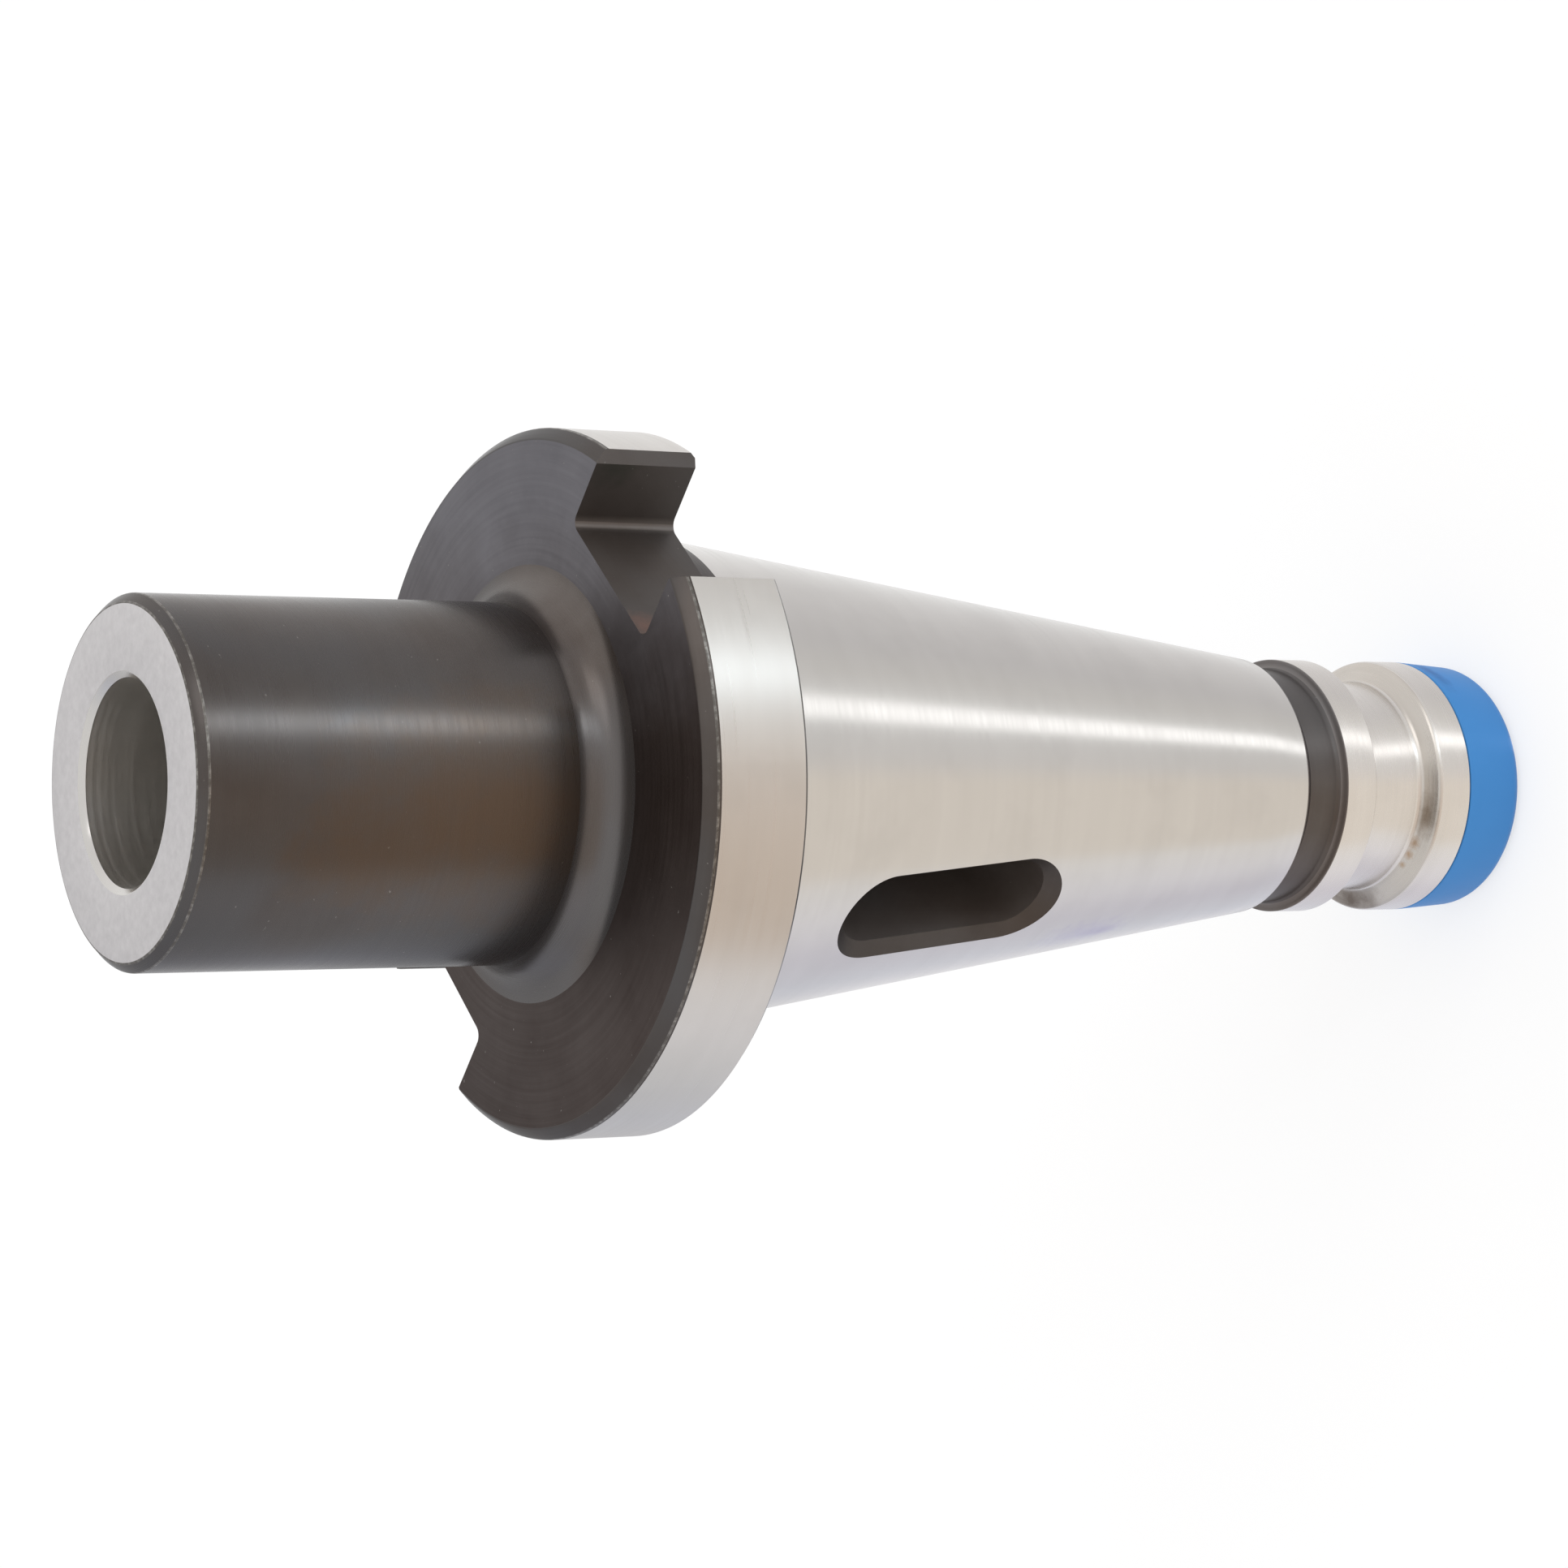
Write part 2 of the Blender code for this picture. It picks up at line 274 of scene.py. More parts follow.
def noise(nodes, links, where, scale, detail=2.0, roughness=0.5):
    """Soft random values around one half, in patches of about 1 / scale metres."""
    texture = nodes.new("ShaderNodeTexNoise")
    texture.inputs["Scale"].default_value = scale
    texture.inputs["Detail"].default_value = detail
    texture.inputs["Roughness"].default_value = roughness
    links.new(where, texture.inputs["Vector"])
    return texture.outputs["Fac"]


def graded(nodes, links, value, stops):
    """A colour ramp; each stop is a place from 0 to 1 and a linear colour."""
    ramp = nodes.new("ShaderNodeValToRGB")
    while len(ramp.color_ramp.elements) < len(stops):
        ramp.color_ramp.elements.new(0.5)
    for element, (place, colour) in zip(ramp.color_ramp.elements, stops):
        element.position = place
        element.color = (*colour, 1.0)
    links.new(value, ramp.inputs["Fac"])
    return ramp.outputs["Color"]


def ranged(nodes, links, value, low, high, start=0.3, end=0.7):
    """A number that goes from low to high as value goes from start to end."""
    change = nodes.new("ShaderNodeMapRange")
    change.inputs["From Min"].default_value = start
    change.inputs["From Max"].default_value = end
    change.inputs["To Min"].default_value = low
    change.inputs["To Max"].default_value = high
    links.new(value, change.inputs["Value"])
    return change.outputs["Result"]


def blended(nodes, links, share, under, over):
    """Two colours mixed, by a share from 0, all under, to 1, all over."""
    mix = nodes.new("ShaderNodeMix")
    mix.data_type = "RGBA"
    links.new(share, mix.inputs["Factor"])
    for colour, socket in ((under, mix.inputs["A"]), (over, mix.inputs["B"])):
        if isinstance(colour, tuple):
            socket.default_value = (*colour, 1.0)
        else:
            links.new(colour, socket)
    return mix.outputs["Result"]


def roughened(nodes, links, shader, height, depth):
    """Fine relief from a height texture, its depth in metres."""
    bump = nodes.new("ShaderNodeBump")
    bump.inputs["Strength"].default_value = 1.0
    bump.inputs["Distance"].default_value = depth
    links.new(height, bump.inputs["Height"])
    links.new(bump.outputs["Normal"], shader.inputs["Normal"])


def stain_and_shade(nodes, links, place, reach, tall):
    """How strongly a small mark shows: full at its place, with a ragged edge at its reach."""
    here = place_on_piece(nodes)
    pressed = reckoned(nodes, links, "ShaderNodeVectorMath", "MULTIPLY", here, (1, 1, 1 / tall))
    middle = (place[0], place[1], place[2] / tall)
    away = reckoned(
        nodes, links, "ShaderNodeVectorMath", "DISTANCE", pressed.outputs["Vector"], middle
    )
    cloud = noise(nodes, links, here, 3 / reach, 4.0, 0.65)
    ragged = reckoned(
        nodes, links, "ShaderNodeMath", "MULTIPLY_ADD", cloud, reach, away.outputs["Value"]
    )
    return ranged(nodes, links, ragged.outputs["Value"], 1.0, 0.0, reach * 0.6, reach * 1.5)


def marked_over(nodes, links, colour, marks):
    """The colour with each mark or patch of a list laid over it."""
    for place, reach, tall, tint in marks:
        colour = blended(nodes, links, stain_and_shade(nodes, links, place, reach, tall), colour, tint)
    return colour


def ground_steel(name, low, high, smoothest, roughest, marked=()):
    """Cylindrically ground steel: bright, with fine marks round the axis and the given patches, dirt
    and rust, and painted dark reflection.
    """
    material, nodes, links, shader = new_finish(name)
    marks = noise(nodes, links, lathe_grain(nodes, links, 3500, 40), 1.0, 3.0, 0.6)
    bands = noise(nodes, links, lathe_grain(nodes, links, 420, 60), 1.0, 2.0, 0.5)
    cloud = noise(nodes, links, place_on_piece(nodes), 140, 3.0, 0.55)
    steel = graded(nodes, links, bands, [(0.25, low), (0.75, high)])
    dull = tuple(0.92 * part for part in low)
    colour = blended(nodes, links, ranged(nodes, links, cloud, 0.0, 0.5, 0.5, 0.75), steel, dull)
    colour = marked_over(nodes, links, colour, marked)
    links.new(colour, shader.inputs["Base Color"])
    shader.inputs["Metallic"].default_value = 1.0
    links.new(ranged(nodes, links, marks, smoothest, roughest), shader.inputs["Roughness"])
    roughened(nodes, links, shader, marks, GRINDING_DEPTH)
    return material


def face_steel():
    """The faced end of the nose: bare steel, pale and finely mottled."""
    material, nodes, links, shader = new_finish("face_steel")
    mottle = noise(nodes, links, place_on_piece(nodes), 1300, 4.0, 0.7)
    rings = noise(nodes, links, lathe_grain(nodes, links, 4200, 60), 1.0, 2.0, 0.5)
    steel = graded(nodes, links, mottle, [(0.3, (0.59, 0.570, 0.570)), (0.7, (0.69, 0.670, 0.670))])
    links.new(steel, shader.inputs["Base Color"])
    shader.inputs["Metallic"].default_value = 1.0
    links.new(ranged(nodes, links, mottle, 0.34, 0.48), shader.inputs["Roughness"])
    roughened(nodes, links, shader, rings, FACING_DEPTH)
    return material


def black_oxide(name, shine, tone=1.0, metal=1.0, lined=0.2, film=0.45, marked=()):
    """Blackened and oiled steel: brownish and bluish patches, tiny worn specks, a thin clear film."""
    material, nodes, links, shader = new_finish(name)
    here = place_on_piece(nodes)
    marks = noise(nodes, links, lathe_grain(nodes, links, 2600, 60), 1.0, 3.0, 0.6)
    lines = noise(nodes, links, lathe_grain(nodes, links, 900, 70), 1.0, 3.0, 0.6)
    cloud = noise(nodes, links, here, 160, 4.0, 0.6)
    tint = noise(nodes, links, here, 45, 2.0, 0.5)
    speck = noise(nodes, links, here, 2300, 2.0, 0.5)
    low = (0.060 * tone, 0.047 * tone, 0.040 * tone)
    high = (0.078 * tone, 0.065 * tone, 0.058 * tone)
    colour = graded(nodes, links, cloud, [(0.3, low), (0.7, high)])
    blued = (0.076 * tone, 0.073 * tone, 0.074 * tone)
    colour = blended(nodes, links, ranged(nodes, links, tint, 0.0, 0.8, 0.42, 0.60), colour, blued)
    paler = (0.100 * tone, 0.090 * tone, 0.082 * tone)
    colour = blended(nodes, links, ranged(nodes, links, lines, 0.0, lined, 0.40, 0.80), colour, paler)
    colour = marked_over(nodes, links, colour, marked)
    specks = ranged(nodes, links, speck, 0.0, 0.4, 0.75, 0.80)
    colour = blended(nodes, links, specks, colour, (0.36, 0.34, 0.32))
    links.new(colour, shader.inputs["Base Color"])
    shader.inputs["Metallic"].default_value = metal
    links.new(ranged(nodes, links, marks, shine - 0.01, shine + 0.04), shader.inputs["Roughness"])
    shader.inputs["Specular Tint"].default_value = (0.55, 0.55, 0.55, 1)
    shader.inputs["Coat Weight"].default_value = film
    shader.inputs["Coat Roughness"].default_value = shine
    roughened(nodes, links, shader, marks, OXIDE_DEPTH)
    return material


def flange_oxide():
    """The flange's front: brown black oxide, with a painted sheen that makes one side lighter and
    bluish grey.
    """
    material, nodes, links, shader = new_finish("black_oxide_flange")
    here = place_on_piece(nodes)
    cloud = noise(nodes, links, here, 110, 4.0, 0.6)
    # Painted sheen: the face turns lighter and bluish grey towards the camera's up direction.
    towards_sheen = (0.766, 0.643, 0.0)
    across = reckoned(nodes, links, "ShaderNodeVectorMath", "DOT_PRODUCT", here, towards_sheen)
    drawn = reckoned(
        nodes, links, "ShaderNodeMath", "MULTIPLY_ADD", cloud, 0.012, across.outputs["Value"]
    )
    side = ranged(nodes, links, drawn.outputs["Value"], 0.0, 1.0, 0.010, 0.030)
    speck = noise(nodes, links, here, 2300, 2.0, 0.5)
    rings = noise(nodes, links, lathe_grain(nodes, links, 2400, 60), 1.0, 3.0, 0.6)
    brown = graded(nodes, links, cloud, [(0.3, (0.060, 0.044, 0.039)), (0.7, (0.086, 0.068, 0.062))])
    blue = graded(nodes, links, cloud, [(0.3, (0.140, 0.135, 0.148)), (0.7, (0.172, 0.166, 0.180))])
    oxide_and_sheen = blended(nodes, links, side, brown, blue)
    specks = ranged(nodes, links, speck, 0.0, 0.8, 0.74, 0.79)
    colour = blended(nodes, links, specks, oxide_and_sheen, (0.34, 0.32, 0.30))
    links.new(colour, shader.inputs["Base Color"])
    shader.inputs["Metallic"].default_value = 1.0
    links.new(ranged(nodes, links, rings, 0.43, 0.54), shader.inputs["Roughness"])
    roughened(nodes, links, shader, rings, FLANGE_TURNING_DEPTH)
    return material


def worn_edge():
    """Edges of the blackened faces, where handling has bared the steel here and there."""
    material, nodes, links, shader = new_finish("worn_edge")
    patch = noise(nodes, links, place_on_piece(nodes), 1500, 4.0, 0.7)
    bare = ranged(nodes, links, patch, 0.0, 1.0, 0.45, 0.75)
    colour = blended(nodes, links, bare, (0.12, 0.11, 0.10), (0.34, 0.325, 0.305))
    links.new(colour, shader.inputs["Base Color"])
    shader.inputs["Metallic"].default_value = 1.0
    shader.inputs["Roughness"].default_value = 0.38
    return material


def bored_steel():
    """Inside of the socket and the tapped hole: reamed steel, duller than the ground outside."""
    material, nodes, links, shader = new_finish("bored_steel")
    marks = noise(nodes, links, lathe_grain(nodes, links, 1800, 30), 1.0, 3.0, 0.6)
    cloud = noise(nodes, links, place_on_piece(nodes), 160, 3.0, 0.6)
    steel = graded(nodes, links, cloud, [(0.3, (0.78, 0.755, 0.720)), (0.7, (0.87, 0.845, 0.810))])
    links.new(steel, shader.inputs["Base Color"])
    shader.inputs["Metallic"].default_value = 1.0
    links.new(ranged(nodes, links, marks, 0.27, 0.36), shader.inputs["Roughness"])
    roughened(nodes, links, shader, marks, REAMING_DEPTH)
    return material


def blue_plastic():
    """Injection-moulded cap: even blue with a faint satin texture and a darker patch at its edge."""
    material, nodes, links, shader = new_finish("blue_plastic")
    cloud = noise(nodes, links, place_on_piece(nodes), 90, 3.0, 0.5)
    grain = noise(nodes, links, place_on_piece(nodes), 5000, 2.0, 0.5)
    colour = graded(nodes, links, cloud, [(0.3, (0.052, 0.258, 0.640)), (0.7, (0.060, 0.280, 0.680))])
    colour = marked_over(nodes, links, colour, CAP_PATCHES)
    links.new(colour, shader.inputs["Base Color"])
    shader.inputs["Roughness"].default_value = 0.46
    shader.inputs["Specular IOR Level"].default_value = 0.3
    roughened(nodes, links, shader, grain, MOULDING_DEPTH)
    return material


# Turned pieces


def turn(name, profile):
    """A turned piece, drawn out ring by ring along (radius, height) points, closed at both ends."""
    put_down_all()
    radius, height = profile[0]
    bpy.ops.mesh.primitive_circle_add(
        vertices=TURN_STEPS, radius=radius, fill_type="NGON", location=(0, 0, 0)
    )
    piece = bpy.context.object
    name_piece(piece, name)
    bpy.ops.object.mode_set(mode="EDIT")
    bpy.ops.mesh.select_all(action="SELECT")
    bpy.ops.transform.translate(value=(0, 0, height))
    for (radius, height), (next_radius, next_height) in zip(profile, profile[1:]):
        bpy.ops.mesh.extrude_region_move(
            TRANSFORM_OT_translate={"value": (0, 0, next_height - height)}
        )
        ratio = next_radius / radius
        bpy.ops.transform.resize(value=(ratio, ratio, 1), center_override=(0, 0, next_height))
    bpy.ops.mesh.select_all(action="SELECT")
    bpy.ops.mesh.normals_make_consistent(inside=False)
    bpy.ops.object.mode_set(mode="OBJECT")
    return piece


def pick_edges(piece, wanted):
    """In edit mode, selects the edges that pass a test."""
    bpy.ops.mesh.select_mode(type="EDGE")
    bpy.ops.mesh.select_all(action="DESELECT")
    shape = bmesh.from_edit_mesh(piece.data)
    for edge in shape.edges:
        edge.select_set(wanted(edge))
    bmesh.update_edit_mesh(piece.data)


def bevel_ring(piece, radius, height, width, segments):
    """Rounds or breaks the edge that runs round the piece at this radius and height."""

    def on_ring(edge):
        ends = [(math.hypot(vertex.co.x, vertex.co.y), vertex.co.z) for vertex in edge.verts]
        return all(math.dist(end, (radius, height)) < TOUCH for end in ends)

    take(piece)
    bpy.ops.object.mode_set(mode="EDIT")
    pick_edges(piece, on_ring)
    bpy.ops.mesh.bevel(
        offset=width, segments=segments, profile=0.5, affect="EDGES", clamp_overlap=False
    )
    bpy.ops.object.mode_set(mode="OBJECT")


def between(start, end, count):
    """Points that divide a straight run of a profile, without its two ends."""
    return [
        tuple(a + (b - a) * step / count for a, b in zip(start, end)) for step in range(1, count)
    ]


def sleeve_outline():
    """Profile of the sleeve with the finish of the face that follows each point."""
    small_end = taper_radius(TAPER_END)
    taper_start = (small_end, TAPER_END)
    taper_top = (taper_radius(TAPER_TOP), TAPER_TOP)
    hole_tip = HOLE_FLOOR + THREAD_CORE_RADIUS / DRILL_POINT_SLOPE
    socket_tip = SOCKET_FLOOR - SOCKET_BORE_RADIUS / DRILL_POINT_SLOPE
    outline = [
        (TIP_RADIUS, hole_tip, "bored"),
        (THREAD_CORE_RADIUS, HOLE_FLOOR, "bored"),
        (THREAD_CORE_RADIUS, THREAD_TOP + THREAD_RUNOUT, "bored"),
        (THREAD_RADIUS, THREAD_TOP, "bored"),
        (THREAD_RADIUS, COUNTERBORE_TOP + THREAD_LEAD_IN, "bored"),
        (COUNTERBORE_RADIUS, COUNTERBORE_TOP, "bored"),
        (COUNTERBORE_RADIUS, TAIL_END + COUNTERBORE_CHAMFER, "ground"),
        (COUNTERBORE_RADIUS + COUNTERBORE_CHAMFER, TAIL_END, "face"),
        (TAIL_RADIUS - TAIL_CHAMFER, TAIL_END, "tail"),
        (TAIL_RADIUS, TAIL_END + TAIL_CHAMFER, "tail"),
        (TAIL_RADIUS, COLLAR_TOP, "flank"),
        (RING_GROOVE_RADIUS, COLLAR_TOP + FLANK_LEAN, "tail"),
        (RING_GROOVE_RADIUS, LIP_END - FLANK_LEAN, "tail"),
        (TAIL_RADIUS - TAIL_CHAMFER, LIP_END, "tail"),
        (TAIL_RADIUS, LIP_END + TAIL_CHAMFER, "tail"),
        (TAIL_RADIUS, LIP_TOP, "groove_edge"),
        (END_GROOVE_RADIUS, LIP_TOP, "groove"),
        (END_GROOVE_RADIUS, TAPER_END - (small_end - END_GROOVE_RADIUS), "groove"),
        (*taper_start, "ground"),
    ]
    outline += [(*point, "ground") for point in between(taper_start, taper_top, TAPER_RINGS)]
    outline += [
        (*taper_top, "black"),
        (GAUGE_RADIUS, GAUGE_LINE, "black"),
        (GAUGE_RADIUS, FLANGE_REAR, "black"),
        (FLANGE_RADIUS - FLANGE_REAR_CHAMFER, FLANGE_REAR, "black"),
        (FLANGE_RADIUS, FLANGE_REAR + FLANGE_REAR_CHAMFER, "rim"),
        (FLANGE_RADIUS, FLANGE_FRONT - BLACKENED_RIM, "black"),
        (FLANGE_RADIUS, FLANGE_FRONT - FLANGE_CHAMFER, "front_chamfer"),
        (FLANGE_RADIUS - FLANGE_CHAMFER, FLANGE_FRONT, "front"),
        (NOSE_RADIUS, FLANGE_FRONT, "black"),
        (NOSE_RADIUS, NOSE_FACE - NOSE_CHAMFER, "black"),
        (NOSE_RADIUS - NOSE_CHAMFER, NOSE_FACE, "face"),
        (SOCKET_RADIUS + SOCKET_CHAMFER, NOSE_FACE, "ground"),
        (SOCKET_RADIUS, NOSE_FACE - SOCKET_CHAMFER, "bored"),
        (SOCKET_BORE_RADIUS, SOCKET_NARROW, "bored"),
        (SOCKET_BORE_RADIUS, SOCKET_FLOOR, "bored"),
        (TIP_RADIUS, socket_tip, "bored"),
    ]
    return outline


def sleeve_edges():
    """Edges round the sleeve: radius, height, width of the bevel, segments, own finish or none."""
    small_end = taper_radius(TAPER_END)
    return [
        (TAIL_RADIUS, COLLAR_TOP, COLLAR_ROUND, 4, None),
        (RING_GROOVE_RADIUS, COLLAR_TOP + FLANK_LEAN, NECK_ROUND_AT_COLLAR, 4, None),
        (RING_GROOVE_RADIUS, LIP_END - FLANK_LEAN, NECK_ROUND_AT_LIP, 6, None),
        # The end groove's wall and edges take a much lighter finish: painted light over their dark
        # reflection.
        (TAIL_RADIUS, LIP_TOP, EDGE_BREAK, 2, "groove_edge"),
        (END_GROOVE_RADIUS, LIP_TOP, END_GROOVE_ROUND, 6, None),
        (small_end, TAPER_END, EDGE_BREAK, 2, "groove_edge"),
        (FLANGE_RADIUS, FLANGE_FRONT - FLANGE_CHAMFER, EDGE_BREAK, 2, "worn"),
        (FLANGE_RADIUS - FLANGE_CHAMFER, FLANGE_FRONT, EDGE_BREAK, 2, "front_chamfer"),
        # The nose's fillet takes a lighter finish: a painted sheen.
        (NOSE_RADIUS, FLANGE_FRONT, NOSE_FILLET, 12, "fillet"),
        (NOSE_RADIUS, NOSE_FACE - NOSE_CHAMFER, EDGE_BREAK, 2, "worn"),
        (NOSE_RADIUS - NOSE_CHAMFER, NOSE_FACE, EDGE_BREAK, 2, "worn"),
        (SOCKET_RADIUS + SOCKET_CHAMFER, NOSE_FACE, EDGE_BREAK / 2, 2, "ground"),
    ]


def distance_to_run(point, start, end):
    """Distance from a point to a straight run of the profile."""
    point, start, end = Vector(point), Vector(start), Vector(end)
    run = end - start
    share = max(0.0, min(1.0, (point - start).dot(run) / run.length_squared))
    return (start + run * share - point).length


def dress_turned_faces(piece, outline, edges, order):
    """Gives each turned face the finish of its bevelled edge or of its run of the profile."""
    runs = [(a[:2], b[:2], a[2]) for a, b in zip(outline, outline[1:])]
    known = {}
    for face in piece.data.polygons:
        middle = (round(math.hypot(face.center.x, face.center.y), 6), round(face.center.z, 6))
        if middle not in known:
            known[middle] = min(runs, key=lambda run: distance_to_run(middle, run[0], run[1]))[2]
            for radius, height, width, segments, finish in edges:
                if finish and max(abs(middle[0] - radius), abs(middle[1] - height)) < width:
                    known[middle] = finish
        face.material_index = order.index(known[middle])


# Slots


def block(name, low, high):
    """A rectangular block between two corners, its size in its mesh."""
    put_down_all()
    bpy.ops.mesh.primitive_cube_add(size=1)
    piece = bpy.context.object
    name_piece(piece, name)
    bpy.ops.object.mode_set(mode="EDIT")
    bpy.ops.mesh.select_all(action="SELECT")
    size = [end - start for start, end in zip(low, high)]
    middle = [(start + end) / 2 for start, end in zip(low, high)]
    bpy.ops.transform.resize(value=size, center_override=(0, 0, 0))
    bpy.ops.transform.translate(value=middle)
    bpy.ops.object.mode_set(mode="OBJECT")
    return piece


def pick_face(piece, direction):
    """In edit mode, selects the one face that points this way and lies furthest out."""
    bpy.ops.mesh.select_mode(type="FACE")
    bpy.ops.mesh.select_all(action="DESELECT")
    shape = bmesh.from_edit_mesh(piece.data)
    facing = [face for face in shape.faces if face.normal.dot(direction) > 0.99]
    chosen = max(facing, key=lambda face: face.calc_center_median().dot(direction))
    chosen.select_set(True)
    bmesh.update_edit_mesh(piece.data)


def drive_slot_cutter(name, angle, wall, root, chamfer):
    """The block that cuts one drive slot, with rounded root corners, a painted highlight along their
    middle, and flared edges.
    """
    half = DRIVE_SLOT_WIDTH / 2
    rim = math.sqrt(FLANGE_RADIUS**2 - half**2)
    flare_start = rim - DRIVE_SLOT_CHAMFER
    flare = FLANGE_RADIUS - flare_start + DRIVE_SLOT_CHAMFER
    low = (DRIVE_SLOT_FLOOR, -half, FLANGE_REAR - OVERCUT)
    high = (flare_start, half, FLANGE_FRONT + OVERCUT)

    def root_corner(edge):
        first, second = (vertex.co for vertex in edge.verts)
        inner = max(first.x, second.x) < DRIVE_SLOT_FLOOR + TOUCH
        beside = min(abs(first.y), abs(second.y)) > half - TOUCH
        return inner and beside and abs(first.z - second.z) > OVERCUT

    cutter = block(name, low, high)
    bpy.ops.object.mode_set(mode="EDIT")
    pick_face(cutter, Vector((1, 0, 0)))
    bpy.ops.mesh.extrude_region_move(TRANSFORM_OT_translate={"value": (flare, 0, 0)})
    bpy.ops.transform.resize(value=(1, (half + flare) / half, 1), center_override=(0, 0, 0))
    pick_edges(cutter, root_corner)
    bpy.ops.mesh.bevel(offset=DRIVE_SLOT_FILLET, segments=8, affect="EDGES", clamp_overlap=False)
    bpy.ops.object.mode_set(mode="OBJECT")
    for material in (wall, root, chamfer):
        cutter.data.materials.append(material)
    for face in cutter.data.polygons:
        sideways = abs(face.normal.y)
        if face.center.x > flare_start + TOUCH and sideways > 0.1:
            face.material_index = 2
        # The middle faces of the root's rounding take a lighter finish: a painted highlight along the
        # root.
        elif face.center.x < DRIVE_SLOT_FLOOR + DRIVE_SLOT_FILLET and 0.45 < sideways < 0.85:
            face.material_index = 1
    cutter.rotation_euler.z = angle
    return cutter


def round_ended_block(name, depth, length, width):
    """A block along X with full round ends, from depth[0] to depth[1]."""

    def along_x(edge):
        run = edge.verts[1].co - edge.verts[0].co
        return abs(run.x) > abs(run.y) + abs(run.z)

    low = (depth[0], -width / 2, -length / 2)
    high = (depth[1], width / 2, length / 2)
    cutter = block(name, low, high)
    bpy.ops.object.mode_set(mode="EDIT")
    pick_edges(cutter, along_x)
    bpy.ops.mesh.bevel(
        offset=width / 2 - TOUCH / 2, segments=16, affect="EDGES", clamp_overlap=False
    )
    bpy.ops.object.mode_set(mode="OBJECT")
    return cutter


def drift_slot_cutter(wall):
    """The block that cuts the drift slot right through the taper."""
    cutter = round_ended_block(
        "drift_slot_cutter", (-FLANGE_RADIUS, FLANGE_RADIUS), DRIFT_SLOT_LENGTH, DRIFT_SLOT_WIDTH
    )
    cutter.data.materials.append(wall)
    cutter.location.z = DRIFT_SLOT_MIDDLE
    cutter.rotation_euler.z = DRIFT_SLOT_TURN
    return cutter


def drift_mouth_cutter(name, turn_angle, chamfer):
    """Cuts the chamfer round one mouth of the drift slot, tilted to follow the taper."""
    reach = DRIFT_SLOT_CHAMFER + OVERCUT
    inward = reach + DRIFT_SLOT_WIDTH / 10
    cutter = round_ended_block(
        name,
        (OVERCUT, OVERCUT + DRIFT_MOUTH_CUT),
        DRIFT_SLOT_LENGTH + 2 * reach,
        DRIFT_SLOT_WIDTH + 2 * reach,
    )
    take(cutter)
    bpy.ops.object.mode_set(mode="EDIT")
    pick_face(cutter, Vector((-1, 0, 0)))
    bpy.ops.mesh.inset(thickness=inward, depth=inward, use_even_offset=True)
    bpy.ops.object.mode_set(mode="OBJECT")
    cutter.data.materials.append(chamfer)
    tilt = Quaternion((0, 1, 0), math.atan(TAPER_SLOPE))
    turned = Quaternion((0, 0, 1), turn_angle)
    cutter.rotation_mode = "QUATERNION"
    cutter.rotation_quaternion = turned @ tilt
    cutter.location = turned @ Vector((taper_radius(DRIFT_SLOT_MIDDLE), 0, DRIFT_SLOT_MIDDLE))
    return cutter


def cut(piece, cutter):
    """Cuts the piece with the cutter, whose faces bring their own finish, and removes the cutter."""
    take(piece)
    boolean = piece.modifiers.new(cutter.name, "BOOLEAN")
    boolean.operation = "DIFFERENCE"
    boolean.solver = "MANIFOLD"
    boolean.material_mode = "TRANSFER"
    boolean.object = cutter
    bpy.ops.object.modifier_apply(modifier=boolean.name)
    bpy.data.objects.remove(cutter, do_unlink=True)


def smooth_turned(piece):
    """Shades the piece smooth, with its sharp edges kept."""
    take(piece)
    bpy.ops.object.shade_smooth_by_angle(angle=SHARP_ANGLE)


# Pieces


def make_sleeve(finishes):
    """The sleeve: turned, with its edges broken, and then the drive slots and the drift slot cut."""
    outline = sleeve_outline()
    edges = sleeve_edges()
    sleeve = turn("sleeve", [point[:2] for point in outline])
    for radius, height, width, segments, finish in edges:
        bevel_ring(sleeve, radius, height, width, segments)
    order = list(finishes)
    for finish in order:
        sleeve.data.materials.append(finishes[finish])
    dress_turned_faces(sleeve, outline, edges, order)
    for number, angle in ((1, 0.0), (2, math.pi)):
        cutter = drive_slot_cutter(
            f"drive_slot_cutter_{number}",
            angle,
            finishes["slot_side"],
            finishes["slot_root_painted_highlight"],
            finishes["slot_edge"],
        )
        cut(sleeve, cutter)
    cut(sleeve, drift_slot_cutter(finishes["slot_wall"]))
    for number, angle in ((1, DRIFT_SLOT_TURN), (2, DRIFT_SLOT_TURN + math.pi)):
        cutter = drift_mouth_cutter(f"drift_mouth_cutter_{number}", angle, finishes["drift_edge"])
        cut(sleeve, cutter)
    smooth_turned(sleeve)
    return sleeve


